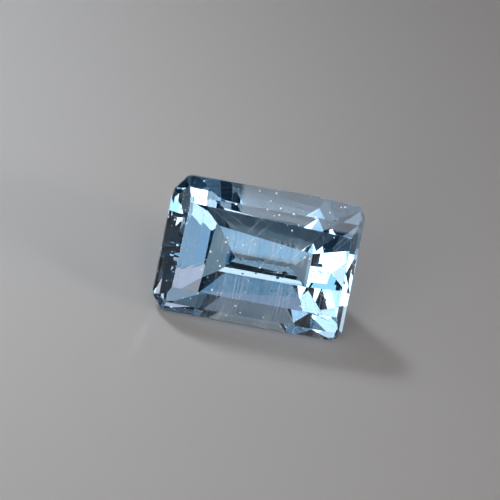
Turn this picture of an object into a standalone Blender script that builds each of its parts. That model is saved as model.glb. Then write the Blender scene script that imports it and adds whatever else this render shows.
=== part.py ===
"""A loose blue topaz, cut as a long rectangle in steps, lying on a pavilion facet.

The stone is worked the way a cutter works it: a rough block is sawn to the girdle
outline, then every facet is ground flat at its own angle and place.
"""

import math

import bmesh
import bpy
from mathutils import Matrix, Vector

MM = 0.001

# Driving dimensions of the cut, in millimetres; slopes and angles in degrees.
LENGTH = 7.0
WIDTH = 5.0
GIRDLE_THICKNESS = 0.2
TABLE_HEIGHT = 0.85
TABLE_LEAN = 1.0
CORNER_ROUNDING = 0.04
ROUGH_MARGIN = 1.5

STONE_COLOUR = (0.42, 0.68, 0.84, 1.0)
STONE_ROUGHNESS = 0.02
STONE_METALLIC = 0.0
TOPAZ_INDEX = 1.62

# One entry for each side of the girdle, anticlockwise from the right end: the compass
# angle that it faces and its distance from the middle. Crown and pavilion steps run
# inwards from the girdle, each with its slope, its width and how far it is twisted
# round from its side. The last step of each runs on to the table or the keel.
SIDES = {
    "right_end": dict(faces=0, reach=3.42,
                      crown=((62, 0.20, 0), (55, None, 0)),
                      pavilion=((62, 1.33, 0), (36, None, 0))),
    "upper_right": dict(faces=38, reach=3.94,
                        crown=((60, 0.20, 0), (50, None, 0)),
                        pavilion=((62, 0.60, 0), (50, None, 0))),
    "upper_side": dict(faces=91, reach=2.39,
                       crown=((40, 0.70, -2), (28, None, -3)),
                       pavilion=((52, 1.85, -4), (34, None, -1))),
    "upper_left": dict(faces=145, reach=3.88,
                       crown=((60, 0.20, 0), (51, None, 0)),
                       pavilion=((54, 0.30, 0), (46, None, 0))),
    "left_end": dict(faces=180, reach=3.56,
                     crown=((59, 0.18, 0), (52, None, 0)),
                     pavilion=((50.5, 0.40, 0), (48.2, 0.49, 0), (47.2, 0.49, 0),
                               (45.8, 0.52, 0), (40, None, 1))),
    "lower_left": dict(faces=222, reach=4.02,
                       crown=((58, 0.20, 0), (50, None, 0)),
                       pavilion=((56, 0.40, 0), (48, None, 0))),
    "lower_side": dict(faces=270, reach=2.54,
                       crown=((50, 0.32, 0), (30, None, 0)),
                       pavilion=((57, 1.62, 0), (45, 0.18, 0), (38, None, 0))),
    "lower_right": dict(faces=319, reach=4.04,
                        crown=((58, 0.20, 0), (50, None, 0)),
                        pavilion=((62, 0.60, 0), (50, None, 0))),
}
REST_SIDE = "lower_side"


def clear_scene():
    for item in list(bpy.data.objects):
        bpy.data.objects.remove(item, do_unlink=True)


def compass(degrees):
    """The level direction at this angle from +X."""
    angle = math.radians(degrees)
    return Vector((math.cos(angle), math.sin(angle), 0.0))


def facet_normal(side, step, upward):
    """The outward direction of one facet; upward is 1 on the crown and -1 below."""
    slope, _, twist = step
    slope = math.radians(slope)
    outward = compass(side["faces"] + twist)
    return outward * math.sin(slope) + Vector((0.0, 0.0, upward * math.cos(slope)))


def grind(stone, point, normal):
    """Take off all that lies beyond a plane and close the stone with a flat facet."""
    geometry = stone.verts[:] + stone.edges[:] + stone.faces[:]
    cut = bmesh.ops.bisect_plane(stone, geom=geometry, dist=1e-7, plane_co=point,
                                 plane_no=normal, clear_outer=True)
    rim = [item for item in cut["geom_cut"] if isinstance(item, bmesh.types.BMEdge)]
    if rim:
        bmesh.ops.contextual_create(stone, geom=rim)


def round_corner(stone, side, next_side):
    """Take the sharp edge off the girdle between two neighbouring sides."""
    first, second = compass(side["faces"]), compass(next_side["faces"])
    lean = (next_side["reach"] - side["reach"] * first.dot(second)) / first.cross(second).z
    corner = first * side["reach"] + Vector((-first.y, first.x, 0.0)) * lean
    outward = (first + second).normalized()
    grind(stone, corner - outward * CORNER_ROUNDING, outward)


def grind_steps(stone, side, steps, upward):
    """Grind one side's steps, from the girdle inwards."""
    reach, height = side["reach"], GIRDLE_THICKNESS / 2
    for step in steps:
        point = compass(side["faces"]) * reach + Vector((0.0, 0.0, upward * height))
        grind(stone, point, facet_normal(side, step, upward))
        slope, width, _ = step
        if width is not None:
            reach -= width
            height += width * math.tan(math.radians(slope))


def cut_stone():
    """The cut stone in millimetres, girdle level and table up."""
    stone = bmesh.new()
    rough = Matrix.Diagonal((LENGTH + ROUGH_MARGIN, WIDTH + ROUGH_MARGIN, 4 * WIDTH, 1.0))
    bmesh.ops.create_cube(stone, size=1.0, matrix=rough)
    sides = list(SIDES.values())
    for side in sides:
        grind(stone, compass(side["faces"]) * side["reach"], compass(side["faces"]))
    for side, next_side in zip(sides, sides[1:] + sides[:1]):
        round_corner(stone, side, next_side)
    for side in sides:
        grind_steps(stone, side, side["crown"], upward=1)
        grind_steps(stone, side, side["pavilion"], upward=-1)
    lean = math.radians(TABLE_LEAN)
    table = Vector((0.0, -math.sin(lean), math.cos(lean)))
    grind(stone, Vector((0.0, 0.0, TABLE_HEIGHT)), table)
    return stone


def lay_down(stone):
    """Turn the stone onto its resting facet, centred over the origin."""
    side = SIDES[REST_SIDE]
    normal = facet_normal(side, side["pavilion"][0], upward=-1)
    turn = normal.rotation_difference(Vector((0.0, 0.0, -1.0))).to_matrix()
    bmesh.ops.rotate(stone, cent=Vector(), matrix=turn, verts=stone.verts)
    lowest, highest = (Vector(map(pick, zip(*(v.co for v in stone.verts)))) for pick in (min, max))
    middle = (lowest + highest) / 2
    bmesh.ops.translate(stone, vec=-Vector((middle.x, middle.y, lowest.z)), verts=stone.verts)


def topaz():
    material = bpy.data.materials.new("blue_topaz")
    material.use_nodes = True
    surface = material.node_tree.nodes["Principled BSDF"]
    surface.inputs["Base Color"].default_value = STONE_COLOUR
    surface.inputs["Roughness"].default_value = STONE_ROUGHNESS
    surface.inputs["Metallic"].default_value = STONE_METALLIC
    surface.inputs["IOR"].default_value = TOPAZ_INDEX
    surface.inputs["Transmission Weight"].default_value = 1.0
    return material


def main():
    clear_scene()
    gem = bpy.data.collections.new("blue_topaz_gemstone")
    bpy.context.scene.collection.children.link(gem)
    stone = cut_stone()
    lay_down(stone)
    bmesh.ops.scale(stone, vec=Vector((MM, MM, MM)), verts=stone.verts)
    mesh = bpy.data.meshes.new("topaz")
    stone.to_mesh(mesh)
    stone.free()
    mesh.materials.append(topaz())
    mesh.shade_flat()
    gem.objects.link(bpy.data.objects.new("topaz", mesh))


main()
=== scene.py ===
"""The finished look of a loose blue topaz: worn and dusty faces on a clear body, in a soft studio."""

import math
import random

import bmesh
import bpy
from mathutils import Matrix, Vector
from mathutils.geometry import intersect_point_line


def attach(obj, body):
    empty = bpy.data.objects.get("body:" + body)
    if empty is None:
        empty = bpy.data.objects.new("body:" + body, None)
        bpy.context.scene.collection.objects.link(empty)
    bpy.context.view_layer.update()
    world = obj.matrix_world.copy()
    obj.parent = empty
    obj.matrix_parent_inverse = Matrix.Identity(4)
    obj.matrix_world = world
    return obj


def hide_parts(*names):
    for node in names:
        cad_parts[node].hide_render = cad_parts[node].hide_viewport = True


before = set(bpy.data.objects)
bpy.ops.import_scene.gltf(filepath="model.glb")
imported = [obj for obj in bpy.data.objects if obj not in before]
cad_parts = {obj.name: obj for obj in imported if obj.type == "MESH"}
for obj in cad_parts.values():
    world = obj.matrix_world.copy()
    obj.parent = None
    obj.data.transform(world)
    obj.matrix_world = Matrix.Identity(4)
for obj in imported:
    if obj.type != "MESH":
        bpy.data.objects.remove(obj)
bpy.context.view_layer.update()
MM = 0.001
UP = Vector((0.0, 0.0, 1.0))

# Corners closer than this many metres are one, and faces within this many degrees are one facet.
WELD = 1e-7
FACET_FLATNESS = 0.3

# Wear of the junctions between facets, in millimetres. A chip's place is a share of the
# junction's length, and its depth a share of its width. The ball that cuts it is turned about Z
# by chance, in radians, and about X by CHIP_TUMBLE times as much.
JUNCTION_WEAR = 0.012
CHIP_SEED = 7
CHIPS_PER_MM = (0.3, 1.2)
CHIP_PLACES = (0.04, 0.96)
CHIP_WIDTHS = (0.03, 0.075)
CHIP_DEPTH = 0.2
CHIP_TURNS = (0, 6)
CHIP_TUMBLE = 1.7
# Edges shorter than this, in millimetres, are closed up after the cut.
SLIVER = 0.0001

# The larger knocks: a place near the junction, and the width of the chip, in millimetres.
KEEL_KNOCKS = (((-0.26, 2.0, 0.21), 0.09), ((0.2, 2.0, 0.21), 0.07), ((0.36, 2.0, 0.21), 0.10),
               ((0.49, 2.0, 0.21), 0.08), ((0.93, 2.0, 0.21), 0.11), ((1.43, 2.0, 0.21), 0.09))
STEP_KNOCKS = (((-1.3, -0.08, 3.98), 0.10), ((-0.16, -0.05, 3.98), 0.08),
               ((0.81, -0.02, 3.98), 0.10), ((1.63, 0.01, 3.98), 0.14))
GIRDLE_KNOCKS = (((1.85, 0.9, 4.23), 0.24), ((-3.49, -0.5, 2.0), 0.16), ((-3.4, 0.55, 3.6), 0.18),
                 ((-3.2, 0.8, 4.0), 0.2), ((3.3, 0.9, 3.9), 0.16), ((-2.3, -1.85, 0.11), 0.14))

# The clear body. The absorption's density is for each metre.
TOPAZ_INDEX = 1.62
ABSORPTION_COLOUR = (0.0, 0.61, 0.97, 1.0)
ABSORPTION_DENSITY = 108.0

# The finish of the faces is laid out on the stone turned table up by TABLE_TILT degrees: X runs
# along it, Y up the table and Z is the height. These zones start at the first place and are
# full at the second, in millimetres.
TABLE_TILT = 58
CROWN_ZONE = (1.40, 1.50)
TABLE_ZONE = (2.30, 2.32)
LOWER_HAZE = (0.95, 0.75)
UPPER_HAZE_FOOT = (1.5, 1.7)
UPPER_HAZE_TOP = (2.45, 2.25)
HAZE_END = (-1.9, -1.2)
FILM_FOOT = (3.0, 3.1)
FILM_END = (-1.15, -1.0)

# Patterns have so many cells to the metre, and levels of noise at which they start and are full.
STREAK_CELLS = (16000.0, 260.0, 900.0)
STREAK_LEVELS = (0.38, 0.72)
PATCH_CELLS = 700.0
PATCH_LEVELS = (0.24, 0.5)
SCRATCH_CELLS = (260.0, 15000.0, 900.0)
SCRATCH_LEVELS = (0.72, 0.80)
# Each set of scratches: its turn about Z in radians, and how many times shorter it is.
SCRATCH_SETS = ((0.5, 1.0), (-0.9, 1.3), (1.9, 1.1))

# A speck's radius, in cells, is the smallest and up to the spread more, and its rim fades over
# the edge. Cells with a lot of chance below the bare levels have no speck.
SPECK_CELLS = 4600.0
SPECK_SMALLEST = 0.03
SPECK_SPREAD = 0.17
SPECK_EDGE = 0.02
BARE_CELLS = (0.25, 0.27)

# A white spot at a knock, partly broken stone and partly a painted glint of the chip, fades from full
# to none between these distances, in shares of its chip's width.
SPOT_HEART = 0.35
SPOT_EDGE = 0.5

# How much of the face each finish covers where it is full.
SCRATCH_COVER = 0.15
HAZE_COVER = 0.32
FILM_COVER = 0.2
# The colour of the specks, scratches, haze and film, also used for the painted glints at the knocks.
DUST_AND_GLINT_COLOUR = (0.78, 0.88, 1.0, 1.0)
DUST_AND_GLINT_ROUGHNESS = 0.7

# The studio. A gridded panel's spread is in degrees. An area light needs this much power for
# each unit of radiance and of area. The floor's size is in metres.
ROOM_RADIUS = 160 * MM
GRID_SPREAD = 24
POWER_PER_RADIANCE = 4.0
FLOOR_HALF_SIZE = 1.5
FLOOR_DROP = 0.002 * MM
BOARD_COLOUR = (0.325, 0.335, 0.34, 1.0)
BOARD_ROUGHNESS = 0.2
ROOM_COLOUR = (0.6, 0.82, 1.0, 1.0)
ROOM_STRENGTH = 0.035
EXPOSURE = -0.08

SUN_WHITE = (1.0, 0.87, 0.78)
LAMP_WHITE = (1.0, 0.9, 0.84)
CEILING_WHITE = (1.0, 0.93, 0.88)

# The camera, as seen from the point that it looks at: angles in degrees, lengths in millimetres.
CAMERA_AZIMUTH = -166.8
CAMERA_ELEVATION = 36.8
CAMERA_ROLL = 18.6
CAMERA_DISTANCE = 166.7
CAMERA_AIM = (-0.335, -0.262, 2.22)
CAMERA_LENS = 338.0


# ---------------------------------------------------------------- shader maths
class Value:
    """A socket that can be added, multiplied and subtracted like a number."""

    def __init__(self, nodes, socket):
        self.nodes, self.socket = nodes, socket

    def maths(self, operation, *others, clamp=False):
        return self.nodes.add("ShaderNodeMath", dict(operation=operation, use_clamp=clamp),
                              {i: v for i, v in enumerate((self, *others))})

    def __add__(self, other):
        return self.maths("ADD", other)

    __radd__ = __add__

    def __mul__(self, other):
        return self.maths("MULTIPLY", other)

    __rmul__ = __mul__

    def __sub__(self, other):
        return self.maths("SUBTRACT", other)

    def __rsub__(self, other):
        return self * -1.0 + other

    def clamp(self):
        return self.maths("ADD", 0.0, clamp=True)

    def between(self, low, high):
        """0 at low, 1 at high, held to that range. Low may be the larger."""
        return ((self - low) * (1.0 / (high - low))).clamp()

    def zone(self, start, full):
        """The same for two places in millimetres."""
        return self.between(start * MM, full * MM)


class Nodes:
    """The nodes of a material or of the world, added one at a time."""

    def __init__(self, owner):
        owner.use_nodes = True
        self.tree = owner.node_tree
        self.tree.nodes.clear()

    def add(self, kind, settings=None, inputs=None, output=0):
        """Add a node, its settings first, and give one of its outputs as a value."""
        node = self.tree.nodes.new(kind)
        for name, value in (settings or {}).items():
            setattr(node, name, value)
        for key, value in (inputs or {}).items():
            if isinstance(value, Value):
                self.tree.links.new(value.socket, node.inputs[key])
            else:
                node.inputs[key].default_value = value
        return Value(self, node.outputs[output]) if node.outputs else None

    def coordinates(self):
        return self.add("ShaderNodeTexCoord", output="Object")

    def noise(self, place, scale, detail):
        return self.add("ShaderNodeTexNoise", None,
                        {"Vector": place, "Scale": scale, "Detail": detail})

    def stretched(self, place, scale):
        return self.add("ShaderNodeMapping", None, {"Vector": place, "Scale": scale})

    def turned(self, place, turn):
        return self.add("ShaderNodeMapping", None, {"Vector": place, "Rotation": turn})


# ---------------------------------------------------------------- the stone's shape
def stone_mesh():
    """A working copy of the cut stone, with whole facets in place of triangles."""
    stone = bmesh.new()
    stone.from_mesh(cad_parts["topaz"].data)
    bmesh.ops.remove_doubles(stone, verts=stone.verts, dist=WELD)
    bmesh.ops.dissolve_limit(stone, angle_limit=math.radians(FACET_FLATNESS), verts=stone.verts,
                             edges=stone.edges)
    return stone


def wear_junctions(stone):
    bmesh.ops.bevel(stone, geom=stone.edges[:], offset=JUNCTION_WEAR * MM, affect="EDGES",
                    segments=1, profile=0.5, material=-1, clamp_overlap=True)


def nearest_junction(stone, place):
    """The junction that passes closest to a place, and the point on it that does."""
    best = None
    for edge in stone.edges:
        start, end = (vert.co for vert in edge.verts)
        _, along = intersect_point_line(place, start, end)
        point = start.lerp(end, min(max(along, 0.0), 1.0))
        gap = (point - place).length
        if best is None or gap < best[0]:
            best = gap, edge, point
    return best[1], best[2]


def bite(cutters, edge, point, width, turn):
    """A ball that will knock a shell-shaped chip of this width out of a junction."""
    depth = width * CHIP_DEPTH
    outward = sum((face.normal for face in edge.link_faces), Vector()).normalized()
    radius = (width * width / 4 + depth * depth) / (2 * depth)
    place = Matrix.Translation(point + outward * (radius - depth))
    spin = Matrix.Rotation(turn, 4, "Z") @ Matrix.Rotation(turn * CHIP_TUMBLE, 4, "X")
    bmesh.ops.create_icosphere(cutters, subdivisions=3, radius=radius, matrix=place @ spin)


def chip_junctions(stone):
    """Cutters for the small chips of every junction and for the larger knocks."""
    cutters = bmesh.new()
    chance = random.Random(CHIP_SEED)
    stone.normal_update()
    for edge in stone.edges:
        length = edge.calc_length() / MM
        start, end = (vert.co for vert in edge.verts)
        for _ in range(round(length * chance.uniform(*CHIPS_PER_MM))):
            point = start.lerp(end, chance.uniform(*CHIP_PLACES))
            width = chance.uniform(*CHIP_WIDTHS) * MM
            bite(cutters, edge, point, width, chance.uniform(*CHIP_TURNS))
    for place, width in KEEL_KNOCKS + STEP_KNOCKS + GIRDLE_KNOCKS:
        edge, point = nearest_junction(stone, Vector(place) * MM)
        bite(cutters, edge, point, width * MM, chance.uniform(*CHIP_TURNS))
    return cutters


def drop_slivers(mesh):
    """Close up the faces of no width that a cut leaves where chips just touch."""
    surface = bmesh.new()
    surface.from_mesh(mesh)
    bmesh.ops.dissolve_degenerate(surface, edges=surface.edges, dist=SLIVER * MM)
    surface.to_mesh(mesh)
    surface.free()


def cut_away(stone, cutters):
    """The stone with the cutters' balls taken out of it."""
    pieces = []
    for name, shape in (("stone_rough", stone), ("chips", cutters)):
        mesh = bpy.data.meshes.new(name)
        shape.to_mesh(mesh)
        shape.free()
        pieces.append(bpy.data.objects.new(name, mesh))
        bpy.context.scene.collection.objects.link(pieces[-1])
    rough, chips = pieces
    cut = rough.modifiers.new("chips", "BOOLEAN")
    cut.operation, cut.object, cut.solver = "DIFFERENCE", chips, "EXACT"
    cut.use_self = True
    graph = bpy.context.evaluated_depsgraph_get()
    worn = bpy.data.meshes.new_from_object(rough.evaluated_get(graph))
    worn.name = "topaz_stone"
    drop_slivers(worn)
    for piece in pieces:
        mesh = piece.data
        bpy.data.objects.remove(piece)
        bpy.data.meshes.remove(mesh)
    return worn


# ---------------------------------------------------------------- the stone's finish
def dust_specks(nodes, level):
    """A round speck in three cells out of four, mostly small."""
    cells = {"Vector": level, "Scale": SPECK_CELLS}
    away = nodes.add("ShaderNodeTexVoronoi", None, cells)
    chance = nodes.add("ShaderNodeTexVoronoi", None, cells, output=1)
    pick = nodes.add("ShaderNodeSeparateColor", None, {0: chance}, output=0)
    size = nodes.add("ShaderNodeSeparateColor", None, {0: chance}, output=1)
    radius = size * size * SPECK_SPREAD + SPECK_SMALLEST
    return (radius - away).between(0.0, SPECK_EDGE) * pick.between(*BARE_CELLS)


def hairline_scratches(nodes, level):
    """Long thin scratches in three directions."""
    hairs = 0.0
    long_way, across, deep = SCRATCH_CELLS
    for turn, scale in SCRATCH_SETS:
        place = nodes.stretched(nodes.turned(level, (0.0, 0.0, turn)),
                                (long_way * scale, across, deep))
        hairs = hairs + nodes.noise(place, 1.0, 0.0).between(*SCRATCH_LEVELS)
    return hairs.clamp()


def brushed_haze(nodes, level, along, up_table):
    """Fine streaks up the table, in two bands of loose patches, clear of its left end."""
    streaks = nodes.noise(nodes.stretched(level, STREAK_CELLS), 1.0, 3.0).between(*STREAK_LEVELS)
    patches = nodes.noise(level, PATCH_CELLS, 2.0).between(*PATCH_LEVELS)
    upper_band = up_table.zone(*UPPER_HAZE_FOOT) * up_table.zone(*UPPER_HAZE_TOP)
    bands = up_table.zone(*LOWER_HAZE) + upper_band
    return streaks * patches * bands * along.zone(*HAZE_END)


def crushed_spots_and_glints(nodes):
    """White spots in the knocks along the keel and the upper step: the white of broken stone, and
    painted glints of the chips.
    """
    crushed_and_glint = 0.0
    for place, width in KEEL_KNOCKS + STEP_KNOCKS:
        away = nodes.add("ShaderNodeVectorMath", dict(operation="DISTANCE"),
                         {0: nodes.coordinates(), 1: Vector(place) * MM}, output=1)
        crushed_and_glint = crushed_and_glint + away.zone(SPOT_EDGE * width, SPOT_HEART * width)
    return crushed_and_glint


def topaz_material():
    """Clear blue topaz with dusty specks, scratches, haze and a film on its crown, and white knocks
    that are partly broken stone and partly painted glints.
    """
    material = bpy.data.materials.new("blue_topaz")
    nodes = Nodes(material)
    level = nodes.turned(nodes.coordinates(), (math.radians(-TABLE_TILT), 0.0, 0.0))
    along, up_table, height = (nodes.add("ShaderNodeSeparateXYZ", None, {0: level}, output=axis)
                               for axis in range(3))
    crown, table = height.zone(*CROWN_ZONE), height.zone(*TABLE_ZONE)

    scratches = hairline_scratches(nodes, level) * table * SCRATCH_COVER
    haze = brushed_haze(nodes, level, along, up_table) * HAZE_COVER
    film = up_table.zone(*FILM_FOOT) * along.zone(*FILM_END) * FILM_COVER
    # Besides the soiled faces, the knocks get painted glints: white spots that stand in for the chips
    # catching light.
    soil_and_glints = (dust_specks(nodes, level) + scratches + haze + film) * crown + crushed_spots_and_glints(nodes)

    clear = nodes.add("ShaderNodeBsdfPrincipled", None,
                      {"Base Color": (1.0, 1.0, 1.0, 1.0), "Roughness": 0.0,
                       "IOR": TOPAZ_INDEX, "Transmission Weight": 1.0})
    dust_and_glint = nodes.add("ShaderNodeBsdfPrincipled", None,
                     {"Base Color": DUST_AND_GLINT_COLOUR, "Roughness": DUST_AND_GLINT_ROUGHNESS})
    face = nodes.add("ShaderNodeMixShader", None, {0: soil_and_glints.clamp(), 1: clear, 2: dust_and_glint})
    body = nodes.add("ShaderNodeVolumeAbsorption", None,
                     {"Color": ABSORPTION_COLOUR, "Density": ABSORPTION_DENSITY})
    nodes.add("ShaderNodeOutputMaterial", None, {"Surface": face, "Volume": body})
    return material


def make_stone():
    stone = stone_mesh()
    cutters = chip_junctions(stone)
    wear_junctions(stone)
    mesh = cut_away(stone, cutters)
    mesh.shade_flat()
    mesh.materials.clear()
    mesh.materials.append(topaz_material())
    piece = bpy.data.objects.new("topaz_stone", mesh)
    bpy.context.scene.collection.objects.link(piece)
    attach(piece, "root")
    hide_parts("topaz")


# ---------------------------------------------------------------- the studio
def floor_material():
    """Pale board with a slight gloss."""
    material = bpy.data.materials.new("pale_board")
    nodes = Nodes(material)
    board = nodes.add("ShaderNodeBsdfPrincipled", None,
                      {"Base Color": BOARD_COLOUR, "Roughness": BOARD_ROUGHNESS})
    nodes.add("ShaderNodeOutputMaterial", None, {"Surface": board})
    return material


def make_floor():
    mesh = bpy.data.meshes.new("floor")
    sheet = bmesh.new()
    bmesh.ops.create_grid(sheet, x_segments=1, y_segments=1, size=FLOOR_HALF_SIZE)
    bmesh.ops.translate(sheet, vec=(0.0, 0.0, -FLOOR_DROP), verts=sheet.verts)
    sheet.to_mesh(mesh)
    sheet.free()
    mesh.materials.append(floor_material())
    floor = bpy.data.objects.new("floor", mesh)
    bpy.context.scene.collection.objects.link(floor)


def direction(azimuth, elevation):
    """Azimuth 0 is away along +Y and 90 is to the right along +X."""
    azimuth, elevation = math.radians(azimuth), math.radians(elevation)
    return Vector((math.sin(azimuth) * math.cos(elevation),
                   math.cos(azimuth) * math.cos(elevation), math.sin(elevation)))


def turn_back_to(out):
    """The turn of a lamp or camera whose back is towards this direction, with its sides level."""
    side = UP.cross(out).normalized()
    return Matrix((side, out.cross(side), out)).transposed()


def panel(name, azimuth, elevation, width, height, brightness, colour, aim=None):
    """A soft panel facing the stone; width and height are the degrees that it fills.

    With an aim it carries a honeycomb grid and faces that point, in millimetres, so that its
    light fades towards the far side of the floor; its brightness is still as seen from the stone.
    """
    light = bpy.data.lights.new(name, "AREA")
    light.shape = "RECTANGLE"
    light.size = 2 * ROOM_RADIUS * math.tan(math.radians(width) / 2)
    light.size_y = 2 * ROOM_RADIUS * math.tan(math.radians(height) / 2)
    light.energy = POWER_PER_RADIANCE * brightness * light.size * light.size_y
    light.color = colour
    lamp = bpy.data.objects.new(name, light)
    place = direction(azimuth, elevation) * ROOM_RADIUS
    out = place.normalized()
    if aim:
        light.spread = math.radians(GRID_SPREAD)
        out = (place - Vector(aim) * MM).normalized()
        rim, lean = light.spread / 2, out.angle(place)
        light.energy *= (math.tan(rim) - rim) / (math.tan(rim) - math.tan(lean))
    lamp.matrix_world = Matrix.Translation(place) @ turn_back_to(out).to_4x4()
    bpy.context.scene.collection.objects.link(lamp)


def make_lights():
    # The window wall at the left, and a gridded roof light that brightens the floor there.
    panel("window_low", -84, 12, 44, 20, 0.27, (0.75, 0.9, 1.0))
    panel("window_step", -82, 9, 8, 5, 3.5, (1.0, 0.92, 0.86))
    panel("window_low_front", -115.5, 12, 19, 20, 1.1, (1.0, 0.96, 0.93))
    panel("window_high", -93.5, 34, 54, 24, 0.8, (0.95, 0.96, 0.98))
    panel("roof_left", -45, 42, 16, 13, 25.0, (0.95, 0.97, 1.0), aim=(-28, 11, 0))
    # The tall window beside the camera, and the lights round it.
    panel("window_front", -142, 24.5, 26, 41, 3.4, SUN_WHITE)
    panel("window_front_high", -143, 51.5, 20, 12, 0.95, (0.85, 0.95, 1.0))
    panel("window_front_foot", -159, 9.5, 7, 9, 3.2, SUN_WHITE)
    panel("window_front_top", -156, 61.5, 8, 8, 2.6, SUN_WHITE)
    panel("front_high", -175, 58, 10, 9, 2.3, (1.0, 0.8, 0.68))
    panel("front_foot", 168, 18, 14, 7, 0.75, (1.0, 0.95, 0.95))
    # The skylight and the ceiling.
    panel("skylight", 160, 54, 15, 24, 1.45, (1.0, 0.78, 0.66))
    panel("skylight_top", 150, 67, 14, 11, 1.9, (1.0, 0.95, 0.93))
    panel("skylight_foot", 160, 36, 17, 11, 1.3, (0.6, 0.86, 1.0))
    panel("zenith", -168, 80, 9, 9, 1.3, CEILING_WHITE)
    panel("zenith_front", -170, 70, 8, 9, 1.4, CEILING_WHITE)
    panel("zenith_right", 111, 70, 9, 9, 2.2, CEILING_WHITE)
    # The wall at the right, warm above and cooler at its foot, with three small bright lamps.
    panel("wall_high", 87, 53, 23, 18, 0.45, (1.0, 0.74, 0.7))
    panel("wall", 87, 31, 33, 26, 0.68, (1.0, 0.72, 0.68))
    panel("wall_low", 87, 12.3, 37, 9.5, 0.35, (1.0, 0.86, 0.84))
    panel("wall_step", 87, 5.4, 37, 4.2, 0.92, (0.78, 0.88, 1.0))
    panel("wall_foot", 87, 1.6, 37, 3.2, 0.45, (0.75, 0.85, 1.0))
    panel("corner", 118.2, 13, 8, 8, 0.19, (1.0, 0.85, 0.72))
    panel("lamp_low", 118.5, 6.5, 8, 4, 4.8, LAMP_WHITE)
    panel("lamp", 105, 16.5, 5, 5.5, 28.0, LAMP_WHITE)
    panel("lamp_high", 110.8, 23.5, 5, 5, 60.0, LAMP_WHITE)
    # The dim far side of the room.
    panel("back_foot", 19, 2.6, 21, 1.6, 0.34, (0.98, 0.97, 0.95))
    panel("back_foot_high", 19, 4, 21, 5, 0.07, (0.6, 0.85, 1.0))
    panel("back_low", 9, 22, 72, 16, 0.155, CEILING_WHITE)
    panel("back_middle", 9, 36.5, 62, 13, 0.092, (0.88, 0.9, 1.0))
    panel("back_high", 9, 52.5, 46, 19, 0.3, (0.72, 0.8, 1.0))
    panel("back_top", 9, 66.5, 30, 9, 0.08, (0.55, 0.75, 1.0))


def make_room():
    """The faint glow of the rest of the room."""
    room = bpy.data.worlds.new("room")
    bpy.context.scene.world = room
    nodes = Nodes(room)
    glow = nodes.add("ShaderNodeBackground", None, {"Color": ROOM_COLOUR, "Strength": ROOM_STRENGTH})
    nodes.add("ShaderNodeOutputWorld", None, {"Surface": glow})


def make_camera():
    camera = bpy.data.objects.new("camera", bpy.data.cameras.new("camera"))
    camera.data.sensor_width = 36.0
    camera.data.lens = CAMERA_LENS
    camera.data.clip_start, camera.data.clip_end = 0.005, 10.0
    camera.data.dof.use_dof = False
    back = direction(CAMERA_AZIMUTH, CAMERA_ELEVATION)
    turn = turn_back_to(back) @ Matrix.Rotation(math.radians(CAMERA_ROLL), 3, "Z")
    place = Vector(CAMERA_AIM) * MM + back * CAMERA_DISTANCE * MM
    camera.matrix_world = Matrix.Translation(place) @ turn.to_4x4()
    bpy.context.scene.collection.objects.link(camera)
    bpy.context.scene.camera = camera


def set_tone():
    view = bpy.context.scene.view_settings
    view.view_transform = "Standard"
    view.look = "Medium High Contrast"
    view.exposure = EXPOSURE


set_tone()
make_stone()
make_floor()
make_lights()
make_room()
make_camera()
